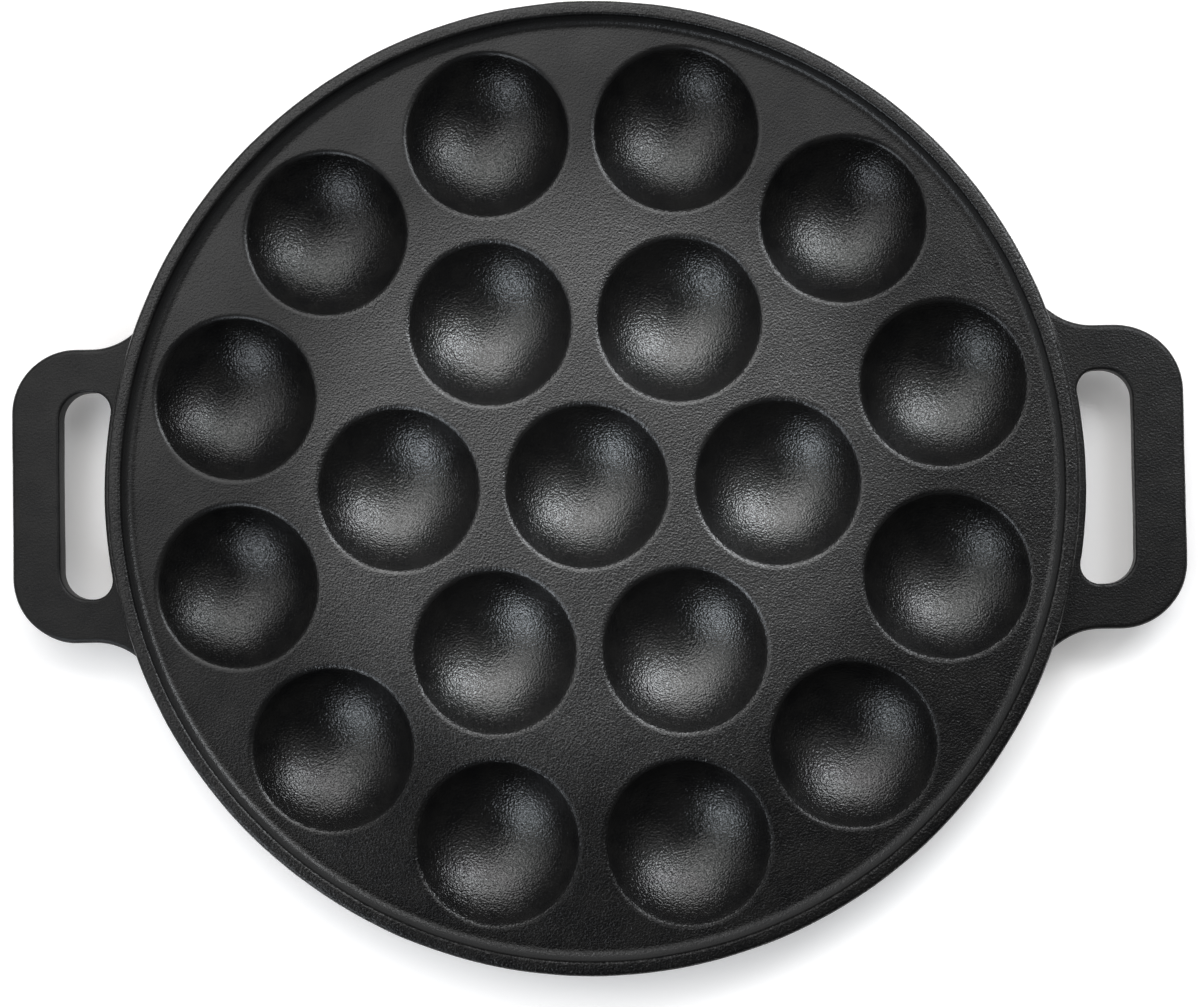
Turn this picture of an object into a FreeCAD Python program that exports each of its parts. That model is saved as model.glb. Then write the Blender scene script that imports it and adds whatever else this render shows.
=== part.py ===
# A poffertjes pan, cast in iron in one piece.
# A round griddle plate holds nineteen ball-shaped wells: one in the middle, a ring of six and a ring
# of twelve. A low rim runs round the plate, and two flat loop handles stand out of its wall.
# Frame: Z is the axis of the pan, z = 0 is the table it stands on, and the handles lie along X.
import FreeCAD, Part
import math
import os

import Sketcher

# The driving sizes, in millimetres apart from the two counts and the angle.
SIZES = [
    ("well_ball", 25.1, "radius of the ball that shapes a well"),
    ("well_depth", 13.0, "depth of a well below the plate"),
    ("well_gap", 7.0, "plate left between the mouths of two neighbouring wells"),
    ("well_wall", 3.6, "iron round a well"),
    ("well_lip", 2.2, "rounding of a well's mouth"),
    ("inner_wells", 6, "wells in the inner ring"),
    ("outer_wells", 12, "wells in the outer ring"),
    ("foot_radius", 5.3, "flat spot under each well, on which the pan stands"),
    ("foot_blend", 2.5, "hollow rounding where a well's back meets the plate"),
    ("plate_margin", 4.7, "plate left between the outer wells and the rim"),
    ("plate_thickness", 4.2, "thickness of the plate"),
    ("rim_height", 4.5, "height of the rim above the plate"),
    ("rim_flare", 0.5, "how far the rim's inner side leans outwards"),
    ("rim_land", 4.3, "width of the rim's top, roundings included"),
    ("rim_inner_edge", 1.1, "rounding of the rim's inner edge"),
    ("rim_outer_edge", 1.4, "rounding of the rim's outer edge"),
    ("rim_foot", 2.3, "hollow rounding between plate and rim"),
    ("skirt_drop", 5.5, "how far the skirt hangs below the plate"),
    ("skirt_width", 3.0, "thickness of the skirt at its lower edge"),
    ("skirt_taper", 0.75, "how far the outer wall leans inwards on its way down"),
    ("skirt_lean", 0.3, "how far the skirt's inner side leans outwards on its way down"),
    ("skirt_edge", 0.9, "rounding of the skirt's lower edges"),
    ("skirt_root", 2.0, "hollow rounding between the plate's underside and the skirt"),
    ("handle_reach", 28.1, "how far a handle stands out of the rim"),
    ("handle_width", 80.6, "width of a handle across its sides"),
    ("handle_corner", 18.0, "radius of a handle's outer corners"),
    ("handle_flare", 18.0, "radius of the curve that widens a handle towards the rim"),
    ("handle_waist", 5.2, "where that curve begins, measured outwards from the rim"),
    ("flare_turn", 38.0, "degrees that the curve turns before it runs straight into the wall"),
    ("handle_thickness", 6.0, "thickness of a handle"),
    ("handle_drop", 1.5, "how far a handle's top lies below the plate's top"),
    ("handle_edge", 1.4, "rounding of a handle's edges"),
    ("handle_root", 1.2, "hollow rounding where a handle meets the rim's wall"),
    ("grip_width", 13.7, "width of the bar that the fingers close round"),
    ("slot_gap", 2.3, "iron between the rim and the finger slot"),
    ("slot_length", 56.2, "length of the finger slot"),
    ("slot_outer_corner", 7.5, "radius of the slot's two outer corners"),
    ("slot_inner_corner", 5.0, "radius of the slot's two inner corners"),
    ("slot_edge", 0.9, "rounding of the slot's edges"),
]

# A sketch counts the points of an edge from one upwards, and its own axes from minus one downwards.
START, END, CENTRE = range(1, 4)
ACROSS_AXIS, UP_AXIS = range(-1, -3, -1)

# Two lengths this close, in millimetres, are the same place when an edge is looked for.
TOUCH = 0.02


class Length:
    """A length worked out from the sheet: the words that bind it, and what it comes to now."""

    def __init__(self, words, number):
        self.words = words
        self.number = number

    def __add__(self, other):
        return Length(f"({self.words} + {other.words})", self.number + other.number)

    def __sub__(self, other):
        return Length(f"({self.words} - {other.words})", self.number - other.number)

    def __neg__(self):
        return Length(f"(0 - {self.words})", -self.number)

    def __mul__(self, factor):
        if isinstance(factor, Length):
            return Length(f"({self.words} * {factor.words})", self.number * factor.number)
        return Length(f"({self.words} * {factor})", self.number * factor)

    def __truediv__(self, other):
        return Length(f"({self.words} / {other.words})", self.number / other.number)

    def leg(self, other):
        """The other short side of a right triangle whose long side is this length."""
        words = f"sqrt({self.words} ^ 2 - {other.words} ^ 2)"
        return Length(words, math.sqrt(self.number**2 - other.number**2))

    def up_to(self, limit):
        return Length(f"min({self.words}; {limit.words})", min(self.number, limit.number))


doc = FreeCAD.newDocument("poffertjes_pan")
sheet = doc.addObject("Spreadsheet::Sheet", "sizes")
size = {}
for row, (alias, number, meaning) in enumerate(SIZES, 1):
    sheet.set(f"A{row}", str(number))
    sheet.setAlias(f"A{row}", alias)
    sheet.set(f"B{row}", meaning)
    size[alias] = Length(f"sizes.{alias}", number)
doc.recompute()

NOUGHT = Length("0", 0.0)

# A well is a cap of a ball, and its back is a larger ball about the same centre, cut off flat
# where it stands. The height of everything else follows from that.
back_ball = size["well_ball"] + size["well_wall"]
ball_height = back_ball.leg(size["foot_radius"])
plate_top = ball_height - size["well_ball"] + size["well_depth"]
plate_under = plate_top - size["plate_thickness"]
plate_middle = plate_top - size["plate_thickness"] * 0.5
rim_top = plate_top + size["rim_height"]
skirt_bottom = plate_under - size["skirt_drop"]
handle_top = plate_top - size["handle_drop"]
handle_bottom = handle_top - size["handle_thickness"]

# The wells of a ring stand one pitch apart, so a ring's radius follows from their number.
mouth_radius = size["well_ball"].leg(size["well_ball"] - size["well_depth"])
pitch = mouth_radius * 2 + size["well_gap"]


def ring_radius(count):
    words = f"({pitch.words} / (2 * sin(180 / {count.words})))"
    return Length(words, pitch.number / (2 * math.sin(math.pi / count.number)))


inner_ring = ring_radius(size["inner_wells"])
outer_ring = ring_radius(size["outer_wells"])

# The rim closes round the outer wells.
rim_foot_radius = outer_ring + mouth_radius + size["plate_margin"]
rim_inner_radius = rim_foot_radius + size["rim_flare"]
rim_radius = rim_inner_radius + size["rim_land"]
skirt_radius = rim_radius - size["skirt_taper"]
skirt_inner_radius = skirt_radius - size["skirt_width"]
skirt_root_radius = skirt_inner_radius - size["skirt_lean"]

body = doc.addObject("PartDesign::Body", "pan_casting")
body.Label = "pan_casting"
doc.recompute()


def origin_part(role):
    return next(part for part in body.Origin.OriginFeatures if part.Role == role)


def flat_sketch(name, plane):
    sketch = body.newObject("Sketcher::SketchObject", name)
    sketch.AttachmentSupport = [(origin_part(plane), "")]
    sketch.MapMode = "FlatFace"
    return sketch


def bind(sketch, constraint, length):
    index = sketch.addConstraint(constraint)
    sketch.setExpression(f"Constraints[{index}]", length.words)


def pin_one_way(sketch, edge, end, kind, axis, place):
    """Holds a point of the sketch at its distance from the origin, one way."""
    if place is NOUGHT:
        sketch.addConstraint(Sketcher.Constraint("PointOnObject", edge, end, axis))
    else:
        rule = Sketcher.Constraint(kind, ACROSS_AXIS, START, edge, end, place.number)
        bind(sketch, rule, place)


def pin(sketch, edge, end, across, up):
    pin_one_way(sketch, edge, end, "DistanceX", UP_AXIS, across)
    pin_one_way(sketch, edge, end, "DistanceY", ACROSS_AXIS, up)


def join(sketch, first, first_end, second, second_end):
    sketch.addConstraint(Sketcher.Constraint("Coincident", first, first_end, second, second_end))


def smooth(sketch, first, first_end, second, second_end):
    sketch.addConstraint(Sketcher.Constraint("Tangent", first, first_end, second, second_end))


def set_radius(sketch, edge, length):
    bind(sketch, Sketcher.Constraint("Radius", edge, length.number), length)


def spot(across, up):
    return FreeCAD.Vector(across.number, up.number, 0)


def line(sketch, start, end):
    return sketch.addGeometry(Part.LineSegment(spot(*start), spot(*end)))


def arc(sketch, centre, start, end):
    """Draws an arc that runs anticlockwise from one spot to another about its centre."""
    middle = spot(*centre)
    first = spot(*start) - middle
    last = spot(*end) - middle
    circle = Part.Circle(middle, FreeCAD.Vector(0, 0, 1), first.Length)
    turns = math.atan2(first.y, first.x), math.atan2(last.y, last.x)
    return sketch.addGeometry(Part.ArcOfCircle(circle, *turns))


def turning_line(sketch, across):
    """Adds the upright line that a profile turns about, as construction."""
    sketch.addGeometry(Part.LineSegment(spot(across, NOUGHT), spot(across, rim_top)), True)
    axis = sketch.GeometryCount - 1
    pin(sketch, axis, START, across, NOUGHT)
    pin(sketch, axis, END, across, rim_top)


def turned(kind, name, sketch):
    """Turns a profile all the way round its line: a Revolution adds iron, a Groove takes it away."""
    feature = body.newObject(kind, name)
    feature.Profile = sketch
    feature.ReferenceAxis = (sketch, ["Axis0"])
    feature.Angle = 360
    sketch.Visibility = False
    return feature


def volume():
    doc.recompute()
    return body.Shape.Volume


def edges_where(test):
    """Names the edges of the casting whose middle passes the test."""
    names = []
    for index, edge in enumerate(body.Shape.Edges, 1):
        half_way = (edge.FirstParameter + edge.LastParameter) / 2
        if test(edge.valueAt(half_way)):
            names.append(f"Edge{index}")
    return names


def rounded(name, radius, test):
    doc.recompute()
    base = body.Tip
    names = edges_where(test)
    if not names:
        raise RuntimeError(f"{name} found no edge to round")
    feature = body.newObject("PartDesign::Fillet", name)
    feature.Base = (base, names)
    feature.setExpression("Radius", radius.words)
    base.Visibility = False


def near(one, other):
    return abs(one - other) < TOUCH


def distance_out(point):
    return math.hypot(point.x, point.y)


# The handles: a flat slab with round outer corners, widening in a curve towards the rim. Its inner
# end lies inside the rim's wall, half way through it.
wall_middle = rim_radius - size["rim_land"] * 0.5
tip = rim_radius + size["handle_reach"]
half_width = size["handle_width"] * 0.5
waist = rim_radius + size["handle_waist"]
corner_radius = size["handle_corner"].up_to((tip - waist) * 0.85)
corner_start = tip - corner_radius
corner_height = half_width - corner_radius
turn_words, turn_angle = size["flare_turn"].words, math.radians(size["flare_turn"].number)
flare_run = size["handle_flare"] * Length(f"sin({turn_words})", math.sin(turn_angle))
flare_rise = size["handle_flare"] * Length(f"(1 - cos({turn_words}))", 1 - math.cos(turn_angle))


def wall_meeting(sign):
    """Where the straight end of the flare meets the circle in the middle of the wall, about."""
    start = FreeCAD.Vector((waist - flare_run).number, (half_width + flare_rise).number, 0)
    inwards = FreeCAD.Vector(-math.cos(turn_angle), math.sin(turn_angle), 0)
    along = start.dot(inwards)
    left = along**2 + wall_middle.number**2 - start.Length**2
    meeting = start + inwards * (-along - math.sqrt(left))
    return Length("", meeting.x), Length("", meeting.y * sign)


def handle_side(sketch, sign):
    """Draws one side of the handle, from its tip to the middle of the wall."""

    def place(across, up):
        return (across, up if sign > 0 else -up)

    corner_end = place(tip, corner_height)
    side_start = place(corner_start, half_width)
    side_end = place(waist, half_width)
    flare_end = place(waist - flare_run, half_width + flare_rise)
    ends = (corner_end, side_start) if sign > 0 else (side_start, corner_end)
    corner = arc(sketch, place(corner_start, corner_height), *ends)
    side = line(sketch, side_start, side_end)
    ends = (flare_end, side_end) if sign > 0 else (side_end, flare_end)
    flare = arc(sketch, place(waist, half_width + size["handle_flare"]), *ends)
    run_in = line(sketch, flare_end, wall_meeting(sign))
    near_end, far_end = (START, END) if sign > 0 else (END, START)
    pin(sketch, corner, near_end, *corner_end)
    pin(sketch, side, START, *side_start)
    pin(sketch, side, END, *side_end)
    join(sketch, corner, far_end, side, START)
    join(sketch, flare, far_end, side, END)
    set_radius(sketch, corner, corner_radius)
    set_radius(sketch, flare, size["handle_flare"])
    pin_one_way(sketch, flare, CENTRE, "DistanceX", UP_AXIS, waist)
    pin_one_way(sketch, flare, near_end, "DistanceX", UP_AXIS, waist - flare_run)
    smooth(sketch, run_in, START, flare, near_end)
    return corner, near_end, run_in


handle_sketch = flat_sketch("handle_outline", "XY_Plane")
handle_sketch.setExpression("AttachmentOffset.Base.z", handle_bottom.words)
upper_corner, upper_end, upper_run = handle_side(handle_sketch, 1)
lower_corner, lower_end, lower_run = handle_side(handle_sketch, -1)
tip_line = line(handle_sketch, (tip, -corner_height), (tip, corner_height))
join(handle_sketch, tip_line, START, lower_corner, lower_end)
join(handle_sketch, tip_line, END, upper_corner, upper_end)
root = arc(handle_sketch, (NOUGHT, NOUGHT), wall_meeting(-1), wall_meeting(1))
pin(handle_sketch, root, CENTRE, NOUGHT, NOUGHT)
set_radius(handle_sketch, root, wall_middle)
join(handle_sketch, root, START, lower_run, END)
join(handle_sketch, root, END, upper_run, END)

handle = body.newObject("PartDesign::Pad", "handle")
handle.Profile = handle_sketch
handle.setExpression("Length", size["handle_thickness"].words)
handle_sketch.Visibility = False

# The finger slot: its inner side runs along the rim, and its outer side is straight.
slot_reach = tip - size["grip_width"]
slot_curve = rim_radius + size["slot_gap"]
slot_half = size["slot_length"] * 0.5
slot_start = slot_curve.leg(slot_half)
slot_sketch = flat_sketch("slot_outline", "XY_Plane")
slot_sketch.setExpression("AttachmentOffset.Base.z", handle_top.words)
slot_outer = line(slot_sketch, (slot_reach, -slot_half), (slot_reach, slot_half))
slot_upper = line(slot_sketch, (slot_reach, slot_half), (slot_start, slot_half))
slot_inner = arc(slot_sketch, (NOUGHT, NOUGHT), (slot_start, -slot_half), (slot_start, slot_half))
slot_lower = line(slot_sketch, (slot_start, -slot_half), (slot_reach, -slot_half))
pin(slot_sketch, slot_outer, START, slot_reach, -slot_half)
pin(slot_sketch, slot_outer, END, slot_reach, slot_half)
pin(slot_sketch, slot_upper, END, slot_start, slot_half)
pin(slot_sketch, slot_lower, START, slot_start, -slot_half)
pin_one_way(slot_sketch, slot_inner, CENTRE, "DistanceX", UP_AXIS, NOUGHT)
join(slot_sketch, slot_outer, END, slot_upper, START)
join(slot_sketch, slot_upper, END, slot_inner, END)
join(slot_sketch, slot_inner, START, slot_lower, START)
join(slot_sketch, slot_lower, END, slot_outer, START)

before = volume()
slot = body.newObject("PartDesign::Pocket", "slot")
slot.Profile = slot_sketch
slot.setExpression("Length", size["handle_thickness"].words)
slot_sketch.Visibility = False
if volume() >= before:
    raise RuntimeError("the slot took no iron away")

both_handles = body.newObject("PartDesign::Mirrored", "both_handles")
both_handles.Originals = [handle, slot]
both_handles.MirrorPlane = (origin_part("YZ_Plane"), [""])
body.Tip = both_handles


def slot_corner(across):
    """A test for the upright edges in the slots' corners at this distance from the middle."""
    return lambda point: (
        near(abs(point.x), across.number)
        and near(abs(point.y), slot_half.number)
        and handle_bottom.number < point.z < handle_top.number
    )


def on_a_handle_face(point):
    return near(point.z, handle_top.number) or near(point.z, handle_bottom.number)


def in_a_slot(point):
    return abs(point.y) < slot_half.number + TOUCH and abs(point.x) < slot_reach.number + TOUCH


def clear_of_the_root(point):
    return distance_out(point) > wall_middle.number + TOUCH


slot_end = slot_reach - slot_start
rounded("slot_outer_corners", size["slot_outer_corner"].up_to(slot_end * 0.55), slot_corner(slot_reach))
rounded("slot_inner_corners", size["slot_inner_corner"].up_to(slot_end * 0.35), slot_corner(slot_start))
rounded(
    "handle_edges",
    size["handle_edge"],
    lambda point: on_a_handle_face(point) and clear_of_the_root(point) and not in_a_slot(point),
)
rounded(
    "slot_edges",
    size["slot_edge"].up_to(size["slot_gap"] * 0.4),
    lambda point: on_a_handle_face(point) and clear_of_the_root(point) and in_a_slot(point),
)

# The dish: plate, rim and skirt are one profile turned about the pan's axis.
dish_profile = flat_sketch("dish_profile", "XZ_Plane")
dish_corners = [
    (NOUGHT, plate_under),
    (skirt_root_radius, plate_under),
    (skirt_inner_radius, skirt_bottom),
    (skirt_radius, skirt_bottom),
    (rim_radius, rim_top),
    (rim_inner_radius, rim_top),
    (rim_foot_radius, plate_top),
    (NOUGHT, plate_top),
]
for index, corner in enumerate(dish_corners):
    line(dish_profile, corner, dish_corners[(index + 1) % len(dish_corners)])
    pin(dish_profile, index, START, *corner)
for index in range(len(dish_corners)):
    join(dish_profile, index, END, (index + 1) % len(dish_corners), START)
turning_line(dish_profile, NOUGHT)
turned("PartDesign::Revolution", "dish", dish_profile)


def ring_edge(radius, height):
    """A test for the circle of this radius and height about the pan's axis."""
    return lambda point: near(distance_out(point), radius.number) and near(point.z, height.number)


rounded("rim_outer_rounding", size["rim_outer_edge"], ring_edge(rim_radius, rim_top))
rounded("rim_inner_rounding", size["rim_inner_edge"], ring_edge(rim_inner_radius, rim_top))
rounded("rim_foot_rounding", size["rim_foot"], ring_edge(rim_foot_radius, plate_top))
rounded("skirt_root_rounding", size["skirt_root"], ring_edge(skirt_root_radius, plate_under))
rounded("skirt_inner_rounding", size["skirt_edge"], ring_edge(skirt_inner_radius, skirt_bottom))
rounded("skirt_outer_rounding", size["skirt_edge"], ring_edge(skirt_radius, skirt_bottom))


def well_sketch(name, turn):
    """An upright sketch through the pan's axis, turned about it where the ring is turned."""
    sketch = flat_sketch(name, "XZ_Plane")
    if turn:
        upright = FreeCAD.Vector(0, 1, 0)
        sketch.AttachmentOffset = FreeCAD.Placement(
            FreeCAD.Vector(), FreeCAD.Rotation(upright, turn.number)
        )
        sketch.setExpression("AttachmentOffset.Rotation.Angle", turn.words)
    return sketch


def touching_spot(ball, small_middle, ball_radius):
    """Where a small circle outside the ball touches it."""
    middle = spot(*ball)
    outwards = (spot(*small_middle) - middle).normalize()
    touch = middle + outwards * ball_radius.number
    return Length("", touch.x), Length("", touch.y)


# A back's hollow blend spreads out over the plate's underside. It keeps clear of the blend of the
# next well and of the rounding at the skirt's root, so it is limited by the narrower of those rooms.
back_height = ball_height - plate_under
back_radius = back_ball.leg(back_height)
skirt_room = skirt_root_radius - size["skirt_root"] - outer_ring
blend_room = (pitch * 0.5).up_to(skirt_room) * 0.985
widest_blend = (blend_room * blend_room - back_radius * back_radius) / ((back_ball - back_height) * 2)
back_blend = size["foot_blend"].up_to(widest_blend)


def well_back(name, ring, turn):
    """The rounded back of a well: flat where it stands, and blended in a hollow curve into the plate.
    It ends half way up inside the plate."""
    ball = (ring, ball_height)
    blend_across = (back_ball + back_blend).leg(back_height + back_blend)
    blend_middle = (ring + blend_across, plate_under - back_blend)
    blend_top = (ring + blend_across, plate_under)
    meeting = touching_spot(ball, blend_middle, back_ball)
    foot_edge = (ring + size["foot_radius"], NOUGHT)
    sketch = well_sketch(f"{name}_back_profile", turn)
    floor = line(sketch, (ring, NOUGHT), foot_edge)
    side = arc(sketch, ball, foot_edge, meeting)
    hollow = arc(sketch, blend_middle, blend_top, meeting)
    wall = line(sketch, blend_top, (ring + blend_across, plate_middle))
    top = line(sketch, (ring + blend_across, plate_middle), (ring, plate_middle))
    core = line(sketch, (ring, plate_middle), (ring, NOUGHT))
    pin(sketch, floor, START, ring, NOUGHT)
    pin(sketch, floor, END, *foot_edge)
    join(sketch, floor, END, side, START)
    pin(sketch, side, CENTRE, *ball)
    set_radius(sketch, hollow, back_blend)
    smooth(sketch, hollow, END, side, END)
    pin_one_way(sketch, hollow, START, "DistanceY", ACROSS_AXIS, plate_under)
    sketch.addConstraint(Sketcher.Constraint("Vertical", hollow, START, hollow, CENTRE))
    join(sketch, wall, START, hollow, START)
    sketch.addConstraint(Sketcher.Constraint("Vertical", wall))
    join(sketch, wall, END, top, START)
    sketch.addConstraint(Sketcher.Constraint("Horizontal", top))
    pin(sketch, top, END, ring, plate_middle)
    join(sketch, top, END, core, START)
    join(sketch, core, END, floor, START)
    turning_line(sketch, ring)
    return turned("PartDesign::Revolution", f"{name}_back", sketch)


def well_hollow(name, ring, turn):
    """The hollow of a well: a cap of the ball, whose mouth is rounded over into the plate's top."""
    lip = size["well_lip"]
    ball = (ring, ball_height)
    bottom = (ring, plate_top - size["well_depth"])
    lip_across = (size["well_ball"] + lip).leg(ball_height - plate_top + lip)
    lip_middle = (ring + lip_across, plate_top - lip)
    lip_top = (ring + lip_across, plate_top)
    meeting = touching_spot(ball, lip_middle, size["well_ball"])
    sketch = well_sketch(f"{name}_hollow_profile", turn)
    bowl = arc(sketch, ball, bottom, meeting)
    mouth = arc(sketch, lip_middle, lip_top, meeting)
    top = line(sketch, lip_top, (ring, plate_top))
    core = line(sketch, (ring, plate_top), bottom)
    pin(sketch, bowl, START, *bottom)
    pin(sketch, bowl, CENTRE, *ball)
    set_radius(sketch, mouth, lip)
    smooth(sketch, mouth, END, bowl, END)
    smooth(sketch, top, START, mouth, START)
    pin(sketch, top, END, ring, plate_top)
    sketch.addConstraint(Sketcher.Constraint("Horizontal", top))
    join(sketch, top, END, core, START)
    join(sketch, core, END, bowl, START)
    turning_line(sketch, ring)
    return turned("PartDesign::Groove", f"{name}_hollow", sketch)


def repeated(name, feature, count):
    """Repeats a well's back or hollow evenly round the pan's axis."""
    doc.recompute()
    pattern = body.newObject("PartDesign::PolarPattern", name)
    pattern.Originals = [feature]
    pattern.Axis = (origin_part("Z_Axis"), [""])
    pattern.Angle = 360
    pattern.setExpression("Occurrences", count.words)
    body.Tip = pattern


# The wells: first all their backs are added to the plate, then all the hollows are sunk in.
# The outer ring is turned by half a step, so that its wells straddle the handles.
half_step = Length(f"180 / {size['outer_wells'].words}", 180 / size["outer_wells"].number)
rings = [
    ("middle_well", NOUGHT, None, None),
    ("inner_well", inner_ring, None, size["inner_wells"]),
    ("outer_well", outer_ring, half_step, size["outer_wells"]),
]
for make, growth in ((well_back, 1), (well_hollow, -1)):
    for name, ring, turn, count in rings:
        before = volume()
        feature = make(name, ring, turn)
        if count:
            repeated(f"{name}s_{'back' if growth > 0 else 'hollow'}", feature, count)
        if (volume() - before) * growth <= 0:
            raise RuntimeError(f"{feature.Name} changed nothing")


def wall_radius(height):
    """The radius of the pan's outer wall at a height."""
    share = (height - skirt_bottom.number) / (rim_top.number - skirt_bottom.number)
    return skirt_radius.number + share * size["skirt_taper"].number


rounded(
    "handle_roots",
    size["handle_root"].up_to(size["slot_gap"] * 0.5),
    lambda point: (
        near(distance_out(point), wall_radius(point.z))
        and handle_bottom.number - TOUCH < point.z < handle_top.number + TOUCH
    ),
)

doc.recompute()
for item in doc.Objects:
    if {"Invalid", "Error"} & set(item.State):
        raise RuntimeError(f"{item.Name} is {item.State}")
if body.Shape.isNull() or not body.Shape.isValid():
    raise RuntimeError("the casting is not a sound solid")
if len(body.Shape.Solids) != 1:
    raise RuntimeError("the casting is not one solid")

os.makedirs("parts", exist_ok=True)
body.Shape.exportStep(f"parts/{body.Label}.step")
box = body.Shape.optimalBoundingBox(False)
print(f"{body.Label}: {box.XLength:.2f} x {box.YLength:.2f} x {box.ZLength:.2f} mm, lowest {box.ZMin:.3f}")
print(f"rim across {rim_radius.number * 2:.2f}, pitch {pitch.number:.2f}, plate top {plate_top.number:.2f}")
print(f"volume {body.Shape.Volume / 1000:.1f} cm3")
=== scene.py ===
import math

import bmesh
import bpy
import numpy as np
from mathutils import Euler, Matrix, Vector
from mathutils.geometry import delaunay_2d_cdt


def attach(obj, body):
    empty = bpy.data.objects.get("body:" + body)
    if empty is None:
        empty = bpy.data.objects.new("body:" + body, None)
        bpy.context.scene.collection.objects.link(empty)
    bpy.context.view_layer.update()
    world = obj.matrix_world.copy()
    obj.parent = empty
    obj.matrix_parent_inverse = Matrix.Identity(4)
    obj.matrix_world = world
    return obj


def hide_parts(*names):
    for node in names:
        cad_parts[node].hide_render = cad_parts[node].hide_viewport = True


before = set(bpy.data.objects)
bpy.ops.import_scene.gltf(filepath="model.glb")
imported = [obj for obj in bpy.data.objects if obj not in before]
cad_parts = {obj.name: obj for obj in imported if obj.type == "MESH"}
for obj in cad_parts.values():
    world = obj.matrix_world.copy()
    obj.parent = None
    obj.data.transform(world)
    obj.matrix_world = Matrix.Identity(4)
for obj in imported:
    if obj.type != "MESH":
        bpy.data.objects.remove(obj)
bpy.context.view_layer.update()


# The wells. Each is a cap of a ball sunk into the plate, with its mouth rounded over, and a larger
# ball about the same centre makes its back. All nineteen are cast with the plate, and the pan
# stands on the flat spots under their backs.
WELL_BALL = 0.0251
WELL_DEPTH = 0.0130
WELL_WALL = 0.0036
WELL_GAP = 0.0070
WELL_LIP = 0.0022
FOOT_RADIUS = 0.0053
BACK_BLEND = 0.0025
PLATE_THICKNESS = 0.0042
INNER_WELLS, OUTER_WELLS = 6, 12
WELL_STEPS = 72
LIP_STEPS, BOWL_STEPS = 7, 15
BLEND_STEPS, BACK_STEPS = 4, 9
COLLAR = 0.0002

back_ball = WELL_BALL + WELL_WALL
ball_height = math.sqrt(back_ball**2 - FOOT_RADIUS**2)
plate_top = ball_height - WELL_BALL + WELL_DEPTH
plate_under = plate_top - PLATE_THICKNESS
mouth_radius = math.sqrt(WELL_BALL**2 - (WELL_BALL - WELL_DEPTH) ** 2)
pitch = 2 * mouth_radius + WELL_GAP


def bend(middle, radius, start, end, steps):
    """Points along an arc in a flat outline, from one angle to another, both in radians."""
    return [
        (middle[0] + radius * math.cos(a), middle[1] + radius * math.sin(a))
        for a in np.linspace(start, end, steps + 1)
    ]


def direction(start, end):
    """The angle of the way from one flat point to another."""
    return math.atan2(end[1] - start[1], end[0] - start[0])


def turned(profile, steps):
    """Turns a profile of (distance out, height) about the Z axis. A point on the axis closes it."""
    points, faces = [], []
    rings = []
    for out, height in profile:
        first = len(points)
        if out < 1e-9:
            points.append((0.0, 0.0, height))
            rings.append([first] * steps)
            continue
        for k in range(steps):
            angle = math.tau * k / steps
            points.append((out * math.cos(angle), out * math.sin(angle), height))
        rings.append(range(first, first + steps))
    for ring, after in zip(rings, rings[1:]):
        for k in range(steps):
            corners = (ring[k], ring[k - 1], after[k - 1], after[k])
            faces.append(tuple(dict.fromkeys(corners)))
    return points, faces


def mesh_object(name, points, faces):
    """A new object with this mesh, in the scene."""
    mesh = bpy.data.meshes.new(name)
    mesh.from_pydata([tuple(p) for p in points], [], faces)
    thing = bpy.data.objects.new(name, mesh)
    bpy.context.collection.objects.link(thing)
    return thing


ball = (0.0, ball_height)
lip_out = math.sqrt((WELL_BALL + WELL_LIP) ** 2 - (WELL_BALL - WELL_DEPTH + WELL_LIP) ** 2)
lip_middle = (lip_out, plate_top - WELL_LIP)
bowl_start = direction(ball, lip_middle)
hollow = [(lip_out + COLLAR, plate_top)]
hollow += bend(lip_middle, WELL_LIP, math.pi / 2, bowl_start + math.pi, LIP_STEPS)
hollow += bend(ball, WELL_BALL, bowl_start, -math.pi / 2, BOWL_STEPS)[1:-1]
hollow += [(0.0, plate_top - WELL_DEPTH)]

back_height = ball_height - plate_under
blend_out = math.sqrt((back_ball + BACK_BLEND) ** 2 - (back_height + BACK_BLEND) ** 2)
blend_middle = (blend_out, plate_under - BACK_BLEND)
back_start = direction(ball, blend_middle)
foot_start = math.atan2(-ball_height, FOOT_RADIUS)
back = [(blend_out + COLLAR, plate_under)]
back += bend(blend_middle, BACK_BLEND, math.pi / 2, back_start + math.pi, BLEND_STEPS)
back += bend(ball, back_ball, back_start, foot_start, BACK_STEPS)[1:]
back += [(FOOT_RADIUS - COLLAR, 0.0), (0.0, 0.0)]

hollow_points, hollow_faces = turned(hollow, WELL_STEPS)
back_points, back_faces = turned(back, WELL_STEPS)
count = len(hollow_points)
one_well = mesh_object(
    "one_well",
    hollow_points + back_points,
    hollow_faces + [tuple(count + i for i in reversed(face)) for face in back_faces],
)


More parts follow.
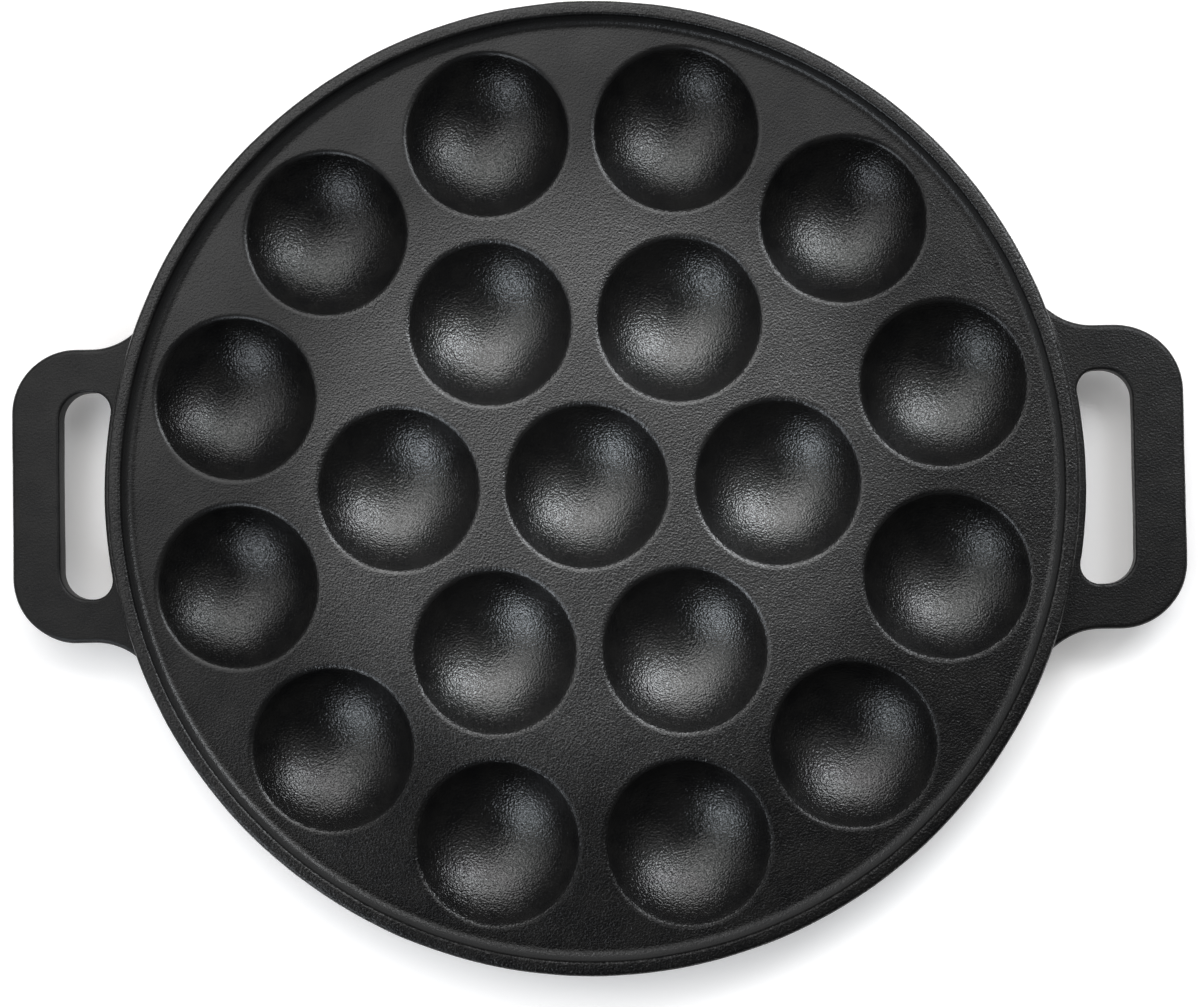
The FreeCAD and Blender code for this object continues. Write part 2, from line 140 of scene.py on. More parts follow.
class Wire:
    """An output of a node. Arithmetic on it adds the Math node that works it out."""

    def __init__(self, sheet, socket):
        self.sheet = sheet
        self.socket = socket

    def __getitem__(self, name):
        return Wire(self.sheet, self.socket.node.outputs[name])

    def work(self, operation, *values):
        """Adds a Math node with this operation on these values."""
        return self.sheet.add("ShaderNodeMath", {"operation": operation}, dict(enumerate(values)))

    def __add__(self, other):
        return self.work("ADD", self, other)

    def __radd__(self, other):
        return self.work("ADD", other, self)

    def __sub__(self, other):
        return self.work("SUBTRACT", self, other)

    def __rsub__(self, other):
        return self.work("SUBTRACT", other, self)

    def __mul__(self, other):
        return self.work("MULTIPLY", self, other)

    def __rmul__(self, other):
        return self.work("MULTIPLY", other, self)

    def __truediv__(self, other):
        return self.work("DIVIDE", self, other)

    def __rtruediv__(self, other):
        return self.work("DIVIDE", other, self)

    def __pow__(self, other):
        return self.work("POWER", self, other)

    def __abs__(self):
        return self.work("ABSOLUTE", self)


class Sheet:
    """A node tree, with one way to add a node to it."""

    def __init__(self, tree):
        self.tree = tree

    def add(self, kind, settings=None, inputs=None):
        """Adds a node with these settings, then with these values or links on its sockets."""
        node = self.tree.nodes.new(kind)
        for name, value in (settings or {}).items():
            setattr(node, name, value)
        for name, value in (inputs or {}).items():
            if isinstance(value, Wire):
                self.tree.links.new(value.socket, node.inputs[name])
            else:
                node.inputs[name].default_value = value
        shown = [socket for socket in node.outputs if socket.enabled]
        return Wire(self, shown[0]) if shown else None

    def join(self, *parts):
        """Joins several pieces of geometry into one."""
        joined = self.add("GeometryNodeJoinGeometry")
        for part in parts:
            self.tree.links.new(part.socket, joined.socket.node.inputs[0])
        return joined


def geometry_sheet(name, takes):
    """A new tree for shapes. It takes the named inputs, and gives back one piece of geometry."""
    tree = bpy.data.node_groups.new(name, "GeometryNodeTree")
    tree.interface.new_socket("Geometry", in_out="OUTPUT", socket_type="NodeSocketGeometry")
    for label, kind in takes.items():
        tree.interface.new_socket(label, in_out="INPUT", socket_type=kind)
    sheet = Sheet(tree)
    return sheet, sheet.add("NodeGroupInput")


def shaped(thing, sheet, values):
    """Runs a tree on an object with these inputs, and gives the result as a plain mesh."""
    modifier = thing.modifiers.new(sheet.tree.name, "NODES")
    modifier.node_group = sheet.tree
    for item in sheet.tree.interface.items_tree:
        if item.item_type == "SOCKET" and item.in_out == "INPUT" and item.name in values:
            modifier[item.identifier] = values[item.name]
    result = bpy.data.meshes.new_from_object(
        thing.evaluated_get(bpy.context.evaluated_depsgraph_get())
    )
    thing.modifiers.remove(modifier)
    return result


iron = bpy.data.materials.new("cast_iron")

rings, given = geometry_sheet(
    "well_rings",
    {
        "Well": "NodeSocketObject",
        "Pitch": "NodeSocketFloat",
        "Inner Wells": "NodeSocketInt",
        "Outer Wells": "NodeSocketInt",
        "Iron": "NodeSocketMaterial",
    },
)


def ring_of_spots(wells, start):
    """Spots one pitch apart on a ring about the pan's axis."""
    half_step = math.pi / wells
    radius = given["Pitch"] / (2 * half_step.work("SINE", half_step))
    circle = rings.add("GeometryNodeMeshCircle", None, {"Vertices": wells, "Radius": radius})
    turn = rings.add("ShaderNodeCombineXYZ", None, {"Z": half_step * start})
    return rings.add("GeometryNodeTransform", None, {"Geometry": circle, "Rotation": turn})


well = rings.add("GeometryNodeObjectInfo", None, {"Object": given["Well"]})
spots = rings.join(
    rings.add("GeometryNodePoints", None, {"Count": 1}),
    ring_of_spots(given["Inner Wells"], 0.0),
    ring_of_spots(given["Outer Wells"], 1.0),
)
wells = rings.add(
    "GeometryNodeInstanceOnPoints", None, {"Points": spots, "Instance": well["Geometry"]}
)
wells = rings.add("GeometryNodeRealizeInstances", None, {"Geometry": wells})
wells = rings.add("GeometryNodeSetMaterial", None, {"Geometry": wells, "Material": given["Iron"]})
rings.add("NodeGroupOutput", None, {"Geometry": wells})

casting = mesh_object("pan_skin", [], [])
all_wells = shaped(
    casting,
    rings,
    {
        "Well": one_well,
        "Pitch": pitch,
        "Inner Wells": INNER_WELLS,
        "Outer Wells": OUTER_WELLS,
        "Iron": iron,
    },
)
bpy.data.objects.remove(one_well)


# The rim and the skirt. The plate turns up into a low rim whose inner side leans outwards, and the
# outer wall runs down past the plate as a short skirt that keeps the heat under the wells.
PLATE_MARGIN = 0.0047
RIM_HEIGHT = 0.0045
RIM_FLARE = 0.0005
RIM_LAND = 0.0043
RIM_FOOT_ROUND = 0.0023
RIM_INNER_ROUND = 0.0011
RIM_OUTER_ROUND = 0.0014
SKIRT_DROP = 0.0055
SKIRT_WIDTH = 0.0030
SKIRT_TAPER = 0.00075
SKIRT_LEAN = 0.0003
SKIRT_ROUND = 0.0009
SKIRT_ROOT_ROUND = 0.0020
TOP_RUN_IN, UNDER_RUN_IN = 0.0026, 0.0021
RIM_STEPS = 288
RIM_TURN_STEP = math.radians(15)
RIM_RUN_STEP = 0.002

outer_ring = pitch / (2 * math.sin(math.pi / OUTER_WELLS))
rim_foot = outer_ring + mouth_radius + PLATE_MARGIN
rim_inner = rim_foot + RIM_FLARE
rim_radius = rim_inner + RIM_LAND
rim_top = plate_top + RIM_HEIGHT
skirt_bottom = plate_under - SKIRT_DROP
skirt_radius = rim_radius - SKIRT_TAPER
skirt_inner = skirt_radius - SKIRT_WIDTH
skirt_root = skirt_inner - SKIRT_LEAN


def rounded_path(corners, turn_step, run_step):
    """Points along straight runs whose corners, given as (x, y, rounding), are rounded over."""
    path = []
    for before, here, after in zip(corners, corners[1:], corners[2:]):
        corner = Vector(here[:2])
        back_way = (Vector(before[:2]) - corner).normalized()
        on_way = (Vector(after[:2]) - corner).normalized()
        turn = math.pi - back_way.angle(on_way)
        if here[2] < 1e-9 or turn < 1e-6:
            path.append(corner)
            continue
        reach = here[2] * math.tan(turn / 2)
        middle = corner + (back_way + on_way).normalized() * here[2] / math.cos(turn / 2)
        arm = corner + back_way * reach - middle
        sign = 1 if back_way.cross(on_way) < 0 else -1
        steps = max(2, math.ceil(turn / turn_step))
        for k in range(steps + 1):
            angle = sign * turn * k / steps
            path.append(
                middle
                + Vector(
                    (
                        arm.x * math.cos(angle) - arm.y * math.sin(angle),
                        arm.x * math.sin(angle) + arm.y * math.cos(angle),
                    )
                )
            )
    path = [Vector(corners[0][:2])] + path + [Vector(corners[-1][:2])]
    full = [path[0]]
    for start, end in zip(path, path[1:]):
        pieces = max(1, math.ceil((end - start).length / run_step))
        full += [start.lerp(end, (k + 1) / pieces) for k in range(pieces)]
    return full


rim_profile = rounded_path(
    [
        (rim_foot - TOP_RUN_IN, plate_top, 0),
        (rim_foot, plate_top, RIM_FOOT_ROUND),
        (rim_inner, rim_top, RIM_INNER_ROUND),
        (rim_radius, rim_top, RIM_OUTER_ROUND),
        (skirt_radius, skirt_bottom, SKIRT_ROUND),
        (skirt_inner, skirt_bottom, SKIRT_ROUND),
        (skirt_root, plate_under, SKIRT_ROOT_ROUND),
        (skirt_root - UNDER_RUN_IN, plate_under, 0),
    ],
    RIM_TURN_STEP,
    RIM_RUN_STEP,
)
rim = mesh_object("rim", *turned(rim_profile, RIM_STEPS))


# The plate between the wells. It is the flat of the casting, top and underside, and fills what
# the wells and the rim leave open with small triangles.
PLATE_GRAIN = 0.003
EDGE_ROOM = 0.6
ROW_ROOM = 0.0002
POINT_ROOM = 0.0004
SAME_HEIGHT = 1e-6


def open_loops(work, height):
    """The open edges of a mesh at this height, as closed runs of its vertices."""
    beside = {}
    for edge in work.edges:
        if edge.is_boundary and all(abs(v.co.z - height) < SAME_HEIGHT for v in edge.verts):
            first, second = edge.verts
            beside.setdefault(first, []).append(second)
            beside.setdefault(second, []).append(first)
    loops = []
    while beside:
        loop = []
        here = next(iter(beside))
        while here in beside:
            loop.append(here)
            options = beside.pop(here)
            here = next((v for v in options if v in beside), None)
        loops.append(loop)
    return loops


def inside(points, starts, ends):
    """Which points lie inside the loops that these edges make, their holes left out."""
    within = np.zeros(len(points), bool)
    for (x1, y1), (x2, y2) in zip(starts, ends):
        if y1 == y2:
            continue
        rises = (y1 > points[:, 1]) != (y2 > points[:, 1])
        crossing = x1 + (points[:, 1] - y1) * (x2 - x1) / (y2 - y1)
        within ^= rises & (points[:, 0] < crossing)
    return within


def fill_flat(work, loops, height, spacing, extra=()):
    """Fills what lies between flat loops of vertices, with even triangles and any extra points."""
    verts = [vert for loop in loops for vert in loop]
    flat = np.array([vert.co.xy for vert in verts])
    after = [k + 1 for k in range(len(verts))]
    first = 0
    for loop in loops:
        after[first + len(loop) - 1] = first
        first += len(loop)
    starts, ends = flat, flat[after]
    low, high = flat.min(0), flat.max(0)
    rows = np.arange(low[1], high[1], spacing * math.sqrt(3) / 2)
    grid = [
        (x + (row % 2) * spacing / 2, y)
        for row, y in enumerate(rows)
        for x in np.arange(low[0], high[0], spacing)
    ]
    grid = np.array(list(extra) + grid)
    grid = grid[inside(grid, starts, ends)]
    keep = []
    for k, spot in enumerate(grid):
        room = ROW_ROOM if k < len(extra) else spacing * EDGE_ROOM
        off_edge = np.abs(flat - spot).sum(1).min() > room
        if off_edge and all(np.abs(spot - grid[i]).sum() > POINT_ROOM for i in keep[-3:]):
            keep.append(k)
    inner = [Vector(grid[k]) for k in keep]
    made = delaunay_2d_cdt(
        [Vector(p) for p in flat] + inner, list(enumerate(after)), [], 0, 1e-9, True
    )
    spots, triangles, sources = made[0], made[2], made[3]
    corners = [
        verts[source[0]] if source and source[0] < len(verts) else work.verts.new((*spot, height))
        for spot, source in zip(spots, sources)
    ]
    middles = np.array([sum((spots[i] for i in t), Vector((0, 0))) / 3 for t in triangles])
    for triangle, wanted in zip(triangles, inside(middles, starts, ends)):
        if wanted:
            work.faces.new([corners[i] for i in triangle])


dish = bmesh.new()
dish.from_mesh(all_wells)
dish.from_mesh(rim.data)
bpy.data.objects.remove(rim)
for height in (plate_top, plate_under):
    fill_flat(dish, open_loops(dish, height), height, PLATE_GRAIN)
bmesh.ops.recalc_face_normals(dish, faces=dish.faces)
dish.to_mesh(casting.data)
dish.free()


# The handles. Two flat loops stand out of the rim's wall, one each side, with a slot for the
# fingers. They are cast with the pan, and run into its wall in a small hollow rounding.
HANDLE_REACH = 0.0281
HANDLE_WIDTH = 0.0806
HANDLE_CORNER = 0.0180
HANDLE_FLARE = 0.0180
HANDLE_WAIST = 0.0052
FLARE_TURN = math.radians(38)
HANDLE_THICKNESS = 0.0060
HANDLE_DROP = 0.0015
HANDLE_EDGE = 0.0014
HANDLE_ROOT = 0.00135
ROOT_START = 0.00015
ROOT_ROWS = [-0.0003, 0, 0.0002, 0.0004, 0.0007, 0.0011, 0.0016]
WALL_SHARE = 0.6
BACK_SINK, BACK_SHORT = 0.0004, 0.025
GRIP_WIDTH = 0.0137
SLOT_GAP = 0.0023
SLOT_LENGTH = 0.0562
SLOT_OUTER_CORNER = 0.0075
SLOT_INNER_CORNER = 0.0050
SLOT_EDGE = 0.0009
SLOT_ARC_SHARE = 0.76
SLOT_ARC_STEPS = 60
HANDLE_GRAIN = 0.0008
HANDLE_TURN_STEP, SLOT_TURN_STEP = math.radians(4), math.radians(7)
EDGE_STEPS = 4
EDGE_LAND = 1.25
SIDE_ROWS = (0.4, 0.5, 0.6)
BACK_POINTS, ROOT_POINTS = 80, 100

handle_top = plate_top - HANDLE_DROP
handle_bottom = handle_top - HANDLE_THICKNESS
tip = rim_radius + HANDLE_REACH
half_width = HANDLE_WIDTH / 2
waist = rim_radius + HANDLE_WAIST
inside_wall = rim_radius - RIM_LAND * WALL_SHARE
flare_corner = Vector((waist - HANDLE_FLARE * math.tan(FLARE_TURN / 2), half_width))
run_in = Vector((-math.cos(FLARE_TURN), math.sin(FLARE_TURN)))
along = flare_corner.dot(run_in)
meeting = flare_corner + run_in * (
    -along - math.sqrt(along**2 + inside_wall**2 - flare_corner.length_squared)
)


def wall_radius(height):
    """The radius of the pan's outer wall at a height."""
    return skirt_radius + (height - skirt_bottom) / (rim_top - skirt_bottom) * SKIRT_TAPER


def ways_out(loop, sign):
    """The outward direction at each point of a closed flat loop."""
    out = []
    for before, after in zip(loop[-1:] + loop[:-1], loop[1:] + loop[:1]):
        run = (after - before).normalized()
        out.append(Vector((run.y, -run.x)) * sign)
    return out


def banded(work, loop, out, edge, softness):
    """Builds the side of a slab round a closed loop, with its upper and lower edge rounded."""
    over = bend((0, 0), 1, math.pi / 2, 0, EDGE_STEPS)
    under = bend((0, 0), 1, 0, -math.pi / 2, EDGE_STEPS)
    column = [(edge * EDGE_LAND, handle_top)]
    column += [(edge * (1 - x), handle_top - edge * (1 - y)) for x, y in over]
    column += [(0.0, handle_top - HANDLE_THICKNESS * share) for share in SIDE_ROWS]
    column += [(edge * (1 - x), handle_bottom + edge * (1 + y)) for x, y in under]
    column += [(edge * EDGE_LAND, handle_bottom)]
    rows = []
    for inset, height in column:
        rows.append(
            [
                work.verts.new((*(spot - way * inset * soft), height))
                for spot, way, soft in zip(loop, out, softness)
            ]
        )
    for row, below in zip(rows, rows[1:]):
        for k in range(len(loop)):
            work.faces.new((row[k - 1], row[k], below[k], below[k - 1]))


handles = bmesh.new()
side = rounded_path(
    [
        (meeting.x, -meeting.y, 0),
        (flare_corner.x, -flare_corner.y, HANDLE_FLARE),
        (tip, -half_width, HANDLE_CORNER),
        (tip, half_width, HANDLE_CORNER),
        (flare_corner.x, flare_corner.y, HANDLE_FLARE),
        (meeting.x, meeting.y, 0),
    ],
    HANDLE_TURN_STEP,
    HANDLE_GRAIN,
)
meeting_angle = math.atan2(meeting.y, meeting.x) - BACK_SHORT
back_arc = [
    Vector((math.cos(a), math.sin(a))) * (inside_wall - BACK_SINK)
    for a in np.linspace(meeting_angle, -meeting_angle, BACK_POINTS)
]
outline = side + back_arc
softness = [1.0] * len(side) + [0.0] * len(back_arc)
banded(handles, outline, ways_out(outline, 1), HANDLE_EDGE, softness)

slot_reach = tip - GRIP_WIDTH
slot_curve = rim_radius + SLOT_GAP
slot_half = SLOT_LENGTH / 2
slot_start = math.sqrt(slot_curve**2 - slot_half**2)
inner_turn = math.asin(slot_half / slot_curve) * SLOT_ARC_SHARE
inner_arc = [
    (slot_curve * math.cos(a), slot_curve * math.sin(a), 0.0)
    for a in np.linspace(-inner_turn, inner_turn, SLOT_ARC_STEPS + 1)
]
arc_middle = SLOT_ARC_STEPS // 2
slot = rounded_path(
    inner_arc[arc_middle:]
    + [
        (slot_start, slot_half, SLOT_INNER_CORNER),
        (slot_reach, slot_half, SLOT_OUTER_CORNER),
        (slot_reach, -slot_half, SLOT_OUTER_CORNER),
        (slot_start, -slot_half, SLOT_INNER_CORNER),
    ]
    + inner_arc[: arc_middle + 1],
    SLOT_TURN_STEP,
    HANDLE_GRAIN,
)[:-1]
banded(handles, slot, ways_out(slot, -1), SLOT_EDGE, [-1.0] * len(slot))

root_rows = [
    (radius * math.cos(a), radius * math.sin(a))
    for radius in wall_radius(handle_top) + np.array(ROOT_ROWS)
    for a in np.linspace(-meeting_angle, meeting_angle, ROOT_POINTS)
]
for height in (handle_top, handle_bottom):
    fill_flat(handles, open_loops(handles, height), height, HANDLE_GRAIN * 3, root_rows)
bmesh.ops.recalc_face_normals(handles, faces=handles.faces)
handles.normal_update()
for vert in handles.verts:
    room = vert.co.xy.length - wall_radius(vert.co.z) + ROOT_START
    if room < HANDLE_ROOT:
        left = HANDLE_ROOT - max(room, 0.0)
        vert.co.z += vert.normal.z * (HANDLE_ROOT - math.sqrt(HANDLE_ROOT**2 - left**2))
other = bmesh.ops.duplicate(handles, geom=handles.verts[:] + handles.edges[:] + handles.faces[:])
turned_over = [item for item in other["geom"] if isinstance(item, bmesh.types.BMVert)]
for vert in turned_over:
    vert.co.x = -vert.co.x
bmesh.ops.recalc_face_normals(handles, faces=handles.faces)
both_handles = mesh_object("both_handles", [], [])
handles.to_mesh(both_handles.data)
handles.free()

union = casting.modifiers.new("with_handles", "BOOLEAN")
union.operation = "UNION"
union.solver = "EXACT"
union.object = both_handles
whole = bpy.data.meshes.new_from_object(
    casting.evaluated_get(bpy.context.evaluated_depsgraph_get())
)
casting.modifiers.remove(union)
bpy.data.objects.remove(both_handles)


# The skin of the casting. Sand leaves it finely grained, and its outlines and flats waver by a
# fraction of a millimetre. Oil baked on in use turns the iron black, glossier towards the middle
# and in the wells, duller towards the rim and on the handles.
UNEVENNESS = 0.00035
UNEVEN_STEP = 0.013
UNEVEN_SEED = 3.0
FOOT_CLEAR = 0.0020
CLOUD_SIZE, STAIN_SIZE = 0.022, 0.006
GRAIN_SIZE, PORE_SIZE, GRIT_SIZE = 0.00048, 0.0007, 0.00038
PORE_SHARE = 0.5
GRAIN_DEPTH = 0.00013
BLACK = (0.0030, 0.0030, 0.0032, 1.0)
BROWN_BLACK = (0.0060, 0.0058, 0.0056, 1.0)
# A lighter grey painted into the rim's inner corner, standing in for light that falls there.
PAINTED_CORNER_LIGHT = (0.032, 0.032, 0.032, 1.0)
GLOSSY_IOR, DULL_IOR = 1.85, 1.25
DOUBLES = 1e-6

work = bmesh.new()
work.from_mesh(whole)
bmesh.ops.remove_doubles(work, verts=work.verts, dist=DOUBLES)
bmesh.ops.triangulate(work, faces=work.faces)
bmesh.ops.recalc_face_normals(work, faces=work.faces)
for face in work.faces:
    face.smooth = True
work.to_mesh(casting.data)
work.free()

skin, given = geometry_sheet(
    "uneven_skin",
    {
        "Geometry": "NodeSocketGeometry",
        "Unevenness": "NodeSocketFloat",
        "Step": "NodeSocketFloat",
        "Foot Clear": "NodeSocketFloat",
        "Seed": "NodeSocketFloat",
        "Iron": "NodeSocketMaterial",
    },
)
place = skin.add("GeometryNodeInputPosition")
height = skin.add("ShaderNodeSeparateXYZ", None, {"Vector": place})["Z"]
clear = skin.add("ShaderNodeMapRange", None, {"Value": height, "From Max": given["Foot Clear"]})
lumps = skin.add(
    "ShaderNodeTexNoise",
    {"noise_dimensions": "4D"},
    {"Vector": place, "W": given["Seed"], "Scale": 1 / given["Step"], "Detail": 1.0},
)
inwards = given["Unevenness"] * lumps * clear * -1.0
sink = skin.add(
    "ShaderNodeVectorMath",
    {"operation": "SCALE"},
    {"Vector": skin.add("GeometryNodeInputNormal"), "Scale": inwards},
)
moved = skin.add("GeometryNodeSetPosition", None, {"Geometry": given["Geometry"], "Offset": sink})
moved = skin.add("GeometryNodeRealizeInstances", None, {"Geometry": moved})
moved = skin.add("GeometryNodeSetMaterial", None, {"Geometry": moved, "Material": given["Iron"]})
skin.add("NodeGroupOutput", None, {"Geometry": moved})

casting.data = shaped(
    casting,
    skin,
    {
        "Unevenness": UNEVENNESS,
        "Step": UNEVEN_STEP,
        "Foot Clear": FOOT_CLEAR,
        "Seed": UNEVEN_SEED,
        "Iron": iron,
    },
)
casting.data.name = "pan_skin"

iron.use_nodes = True
iron.node_tree.nodes.clear()
coat = Sheet(iron.node_tree)
spot = coat.add("ShaderNodeTexCoord")["Object"]
parts = coat.add("ShaderNodeSeparateXYZ", None, {"Vector": spot})
flat_spot = coat.add("ShaderNodeCombineXYZ", None, {"X": parts["X"], "Y": parts["Y"]})
out = coat.add("ShaderNodeVectorMath", {"operation": "LENGTH"}, {0: flat_spot})


def between(value, low, high):
    """Rises smoothly from 0 to 1 while a value goes from low to high."""
    return coat.add(
        "ShaderNodeMapRange",
        {"interpolation_type": "SMOOTHSTEP"},
        {"Value": value, "From Min": low, "From Max": high},
    )


def noise(size, detail):
    """Soft spots of about this size in metres, around 0.5."""
    return coat.add(
        "ShaderNodeTexNoise",
        None,
        {"Vector": spot, "Scale": 1 / size, "Detail": detail, "Roughness": 0.5},
    )


# Where a spot lies on the casting: each of these is 1 there, and 0 elsewhere.
in_dish = 1 - between(out, rim_foot - 0.002, rim_foot)
in_corner = (1 - in_dish) * (1 - between(parts["Z"], plate_top + 0.0025, rim_top - 0.0005))
in_corner = in_corner * (1 - between(out, rim_radius - 0.0020, rim_radius - 0.0010))
in_well = in_dish * (1 - between(parts["Z"], plate_top - 0.0016, plate_top - 0.0004))
on_lip = in_dish * between(parts["Z"], plate_top - 0.0022, plate_top - 0.0010)
on_lip = on_lip * (1 - between(parts["Z"], plate_top - 0.00045, plate_top - 0.00038))
on_handle = between(out, rim_radius, rim_radius + 0.001)
on_rim = (1 - in_dish) * (1 - on_handle)
on_handle_side = on_handle * (1 - between(parts["Z"], handle_top - 0.0030, handle_top - 0.0008))
near_right = between(parts["X"] * 0.6 - parts["Y"] * 0.8, -0.05, 0.06)
in_front = between(parts["Y"], -0.030, -0.070) * between(parts["X"], -0.09, -0.04)
in_front = (1 - in_well) * in_front
smooth_left = between(out, 0.070, 0.105) * (1 - near_right)

clouds = noise(CLOUD_SIZE, 3.0)
stains = noise(STAIN_SIZE, 4.0)
grain = noise(GRAIN_SIZE, 1.0)
grit = noise(GRIT_SIZE, 0.0)
pores = coat.add(
    "ShaderNodeTexVoronoi",
    {"feature": "F1"},
    {"Vector": spot, "Scale": 1 / PORE_SIZE},
)

# The grain left by the sand. It stands out least towards the far left edge.
relief = grain + pores * PORE_SHARE
sandy = 1 - smooth_left * (1 - in_well * 0.8) * (1 - on_rim * 0.6) * (1 - on_handle * 0.5)
strength = 0.45 + sandy * 0.72 + in_front * 0.35 - on_handle * 0.35 - on_rim * 0.25
bump = coat.add(
    "ShaderNodeBump",
    None,
    {"Strength": strength, "Distance": GRAIN_DEPTH, "Height": relief},
)

# The colour: black with brownish stains, and a painted lighter grey in the corner of the rim,
# stronger towards the near right, standing in for the light that falls on that wall.
tone = coat.add(
    "ShaderNodeMix",
    {"data_type": "RGBA"},
    {"Factor": between(stains, 0.3, 0.7), 6: BLACK, 7: BROWN_BLACK},
)
# Painted light: the rim's inner corner turns a lighter grey, more towards the near right, in place
# of the light that falls on that wall.
painted_corner_light = in_corner * (0.5 + near_right * 0.5)
tone = coat.add("ShaderNodeMix", {"data_type": "RGBA"}, {"Factor": painted_corner_light, 6: tone, 7: PAINTED_CORNER_LIGHT})

# The gloss: two finishes of the same iron, mixed from glossy to dull.
rough = 0.31 + (clouds - 0.5) * 0.08 + (stains - 0.5) * 0.08 + on_handle * 0.08 - in_well * 0.09
finishes = [
    coat.add(
        "ShaderNodeBsdfPrincipled",
        None,
        {"Base Color": tone, "Roughness": rough, "Normal": bump, "IOR": gloss},
    )
    for gloss in (GLOSSY_IOR, DULL_IOR)
]
dull = 0.20 + between(out, 0.058, 0.098) * (0.6 - in_well * (0.1 + near_right * 0.15))
dull = dull + in_front * 0.25 + on_handle * 0.1
gritty = (0.1 + sandy * 0.7 + in_well * 0.4) * (1 - on_handle * 0.6)
dull = dull + (clouds - 0.5) * 0.15 - (grit - 0.5) * gritty - on_lip * (0.11 + near_right * 0.2)
dull = dull + on_handle_side * 0.5 - on_rim * 0.06
surface = coat.add("ShaderNodeMixShader", None, {0: dull, 1: finishes[0], 2: finishes[1]})
coat.add("ShaderNodeOutputMaterial", None, {"Surface": surface})

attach(casting, "root")
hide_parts("pan_casting")


# The floor: a plain white sweep that the pan stands on, which keeps the pan's soft shadow. For the
# camera and for reflections it glows a little more in each band further out from the pan's outline.
FLOOR_SIZE = 6.0
FLOOR_DROP = 0.0001
FLOOR_WHITE = (0.91, 0.895, 0.886, 1.0)
FLOOR_ROUGHNESS = 0.9
# Each band's start and end past the outline, and the light that it adds. Round the handles they
# start a little further out.
FLOOR_GLOW = [(-1.0, -0.5, 0.14), (-0.010, -0.003, 0.12), (0.0, 0.021, 0.28)]
HANDLE_LAG = 0.003

floor = mesh_object(
    "floor",
    [
        (x * FLOOR_SIZE, y * FLOOR_SIZE, -FLOOR_DROP)
        for x, y in ((-1, -1), (1, -1), (1, 1), (-1, 1))
    ],
    [(0, 1, 2, 3)],
)
white = bpy.data.materials.new("white_floor")
white.use_nodes = True
white.node_tree.nodes.clear()
paint = Sheet(white.node_tree)
rays = paint.add("ShaderNodeLightPath")
spot = paint.add("ShaderNodeTexCoord")["Object"]
place = paint.add("ShaderNodeSeparateXYZ", None, {"Vector": spot})
past_rim = (place["X"] * place["X"] + place["Y"] * place["Y"]) ** 0.5 - rim_radius
past_tip = abs(place["X"]) - tip
past_side = abs(place["Y"]) - half_width
past_handle = past_tip.work("MAXIMUM", past_tip, past_side) - HANDLE_LAG
past_pan = past_rim.work("MINIMUM", past_rim, past_handle)
glow = [
    paint.add(
        "ShaderNodeMapRange",
        {"interpolation_type": "SMOOTHSTEP"},
        {"Value": past_pan, "From Min": start, "From Max": end, "To Max": light},
    )
    for start, end, light in FLOOR_GLOW
]
seen = paint.add(
    "ShaderNodeMath",
    {"operation": "ADD", "use_clamp": True},
    {0: rays["Is Camera Ray"], 1: rays["Is Glossy Ray"] + rays["Is Transmission Ray"]},
)
plain = paint.add(
    "ShaderNodeBsdfPrincipled",
    None,
    {
        "Base Color": FLOOR_WHITE,
        "Roughness": FLOOR_ROUGHNESS,
        "Emission Color": (1.0, 1.0, 1.0, 1.0),
        "Emission Strength": seen * (glow[0] + glow[1] + glow[2]),
    },
)
paint.add("ShaderNodeOutputMaterial", None, {"Surface": plain})
floor.data.materials.append(white)


# The studio light: a wide soft box beyond the far side, a small bright one at its right, a small
# cool one at the near left, a long one high over the far side, and weak fills all round.
WHITE = (1.0, 1.0, 1.0)
WORLD_LIGHT = 0.05
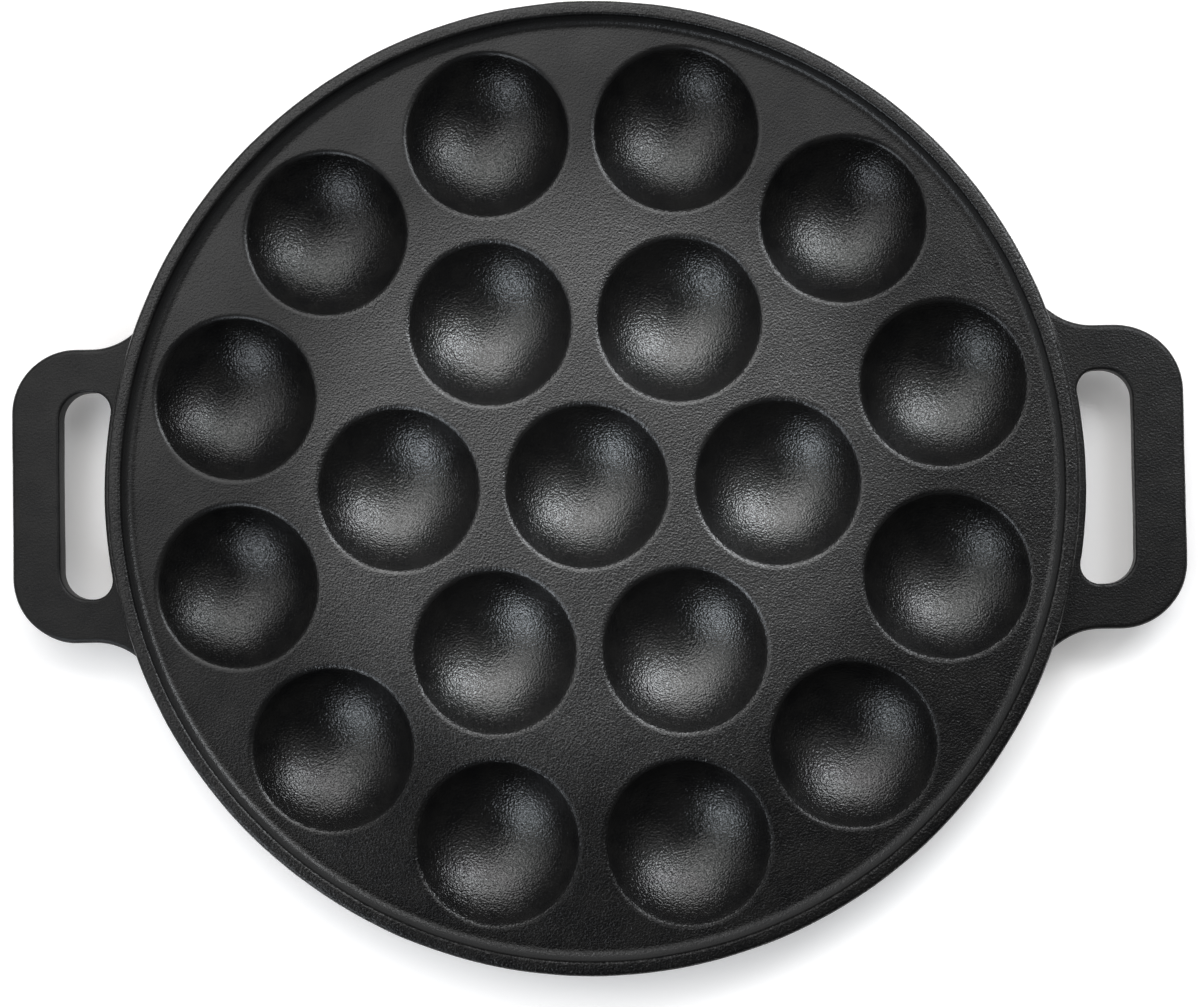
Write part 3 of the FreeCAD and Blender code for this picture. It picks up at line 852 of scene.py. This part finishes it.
# Name, turn about the pan's axis and fall from it in degrees, distance, width, height, brightness
# and colour.
LAMPS = [
    ("far_box", 90, 47, 1.30, 1.15, 0.92, 3.0, WHITE),
    ("far_right_box", 42, 51, 0.66, 0.27, 0.33, 8.2, (0.94, 0.97, 1.0)),
    ("far_left_box", 140, 39, 1.30, 0.80, 1.00, 1.30, WHITE),
    ("left_fill", 182, 44, 1.30, 0.90, 1.05, 0.86, WHITE),
    ("near_left_box", 229, 57, 0.60, 0.26, 0.29, 4.8, (0.87, 0.93, 1.0)),
    ("near_fill", 270, 34, 1.30, 0.80, 0.80, 0.06, WHITE),
    ("right_fill", 6, 38, 1.30, 0.74, 1.15, 0.56, WHITE),
    ("overhead_box", 112, 16, 1.30, 0.90, 0.44, 1.40, WHITE),
]
for name, turn, fall, distance, wide, tall, radiance, colour in LAMPS:
    way = Vector((0, 0, 1))
    way.rotate(Euler((0, math.radians(fall), math.radians(turn))))
    lamp = bpy.data.lights.new(name, "AREA")
    lamp.shape = "RECTANGLE"
    lamp.size, lamp.size_y = wide, tall
    lamp.energy = radiance * math.pi * wide * tall
    lamp.color = colour
    holder = bpy.data.objects.new(name, lamp)
    holder.location = way * distance
    holder.rotation_euler = way.to_track_quat("Z", "Y").to_euler()
    bpy.context.collection.objects.link(holder)

world = bpy.data.worlds.new("studio")
world.use_nodes = True
sky = world.node_tree.nodes["Background"]
sky.inputs["Color"].default_value = (*WHITE, 1.0)
sky.inputs["Strength"].default_value = WORLD_LIGHT
bpy.context.scene.world = world


# The camera looks steeply down on the pan from a little to the right of its middle, turned by about
# a degree, as the photograph was taken.
CAMERA_LENS = 67.4
CAMERA_SENSOR = 36.0
CAMERA_ROLL = -0.0162
CAMERA_CLIP = 0.01

camera = bpy.data.objects.new("camera", bpy.data.cameras.new("camera"))
bpy.context.collection.objects.link(camera)
bpy.context.scene.camera = camera
camera.data.sensor_width = CAMERA_SENSOR
camera.data.lens = CAMERA_LENS
camera.data.clip_start = CAMERA_CLIP
stand = Vector((0.0496, -0.0219, 0.6141))
aim = Vector((0.00356, -0.00472, 0.0161))
ahead = (aim - stand).normalized()
right = ahead.cross(Vector((0, 1, 0))).normalized()
up = right.cross(ahead)
across = right * math.cos(CAMERA_ROLL) + up * math.sin(CAMERA_ROLL)
upright = up * math.cos(CAMERA_ROLL) - right * math.sin(CAMERA_ROLL)
camera.matrix_world = Matrix((across, upright, -ahead)).transposed().to_4x4()
camera.location = stand

bpy.context.scene.view_settings.view_transform = "Standard"
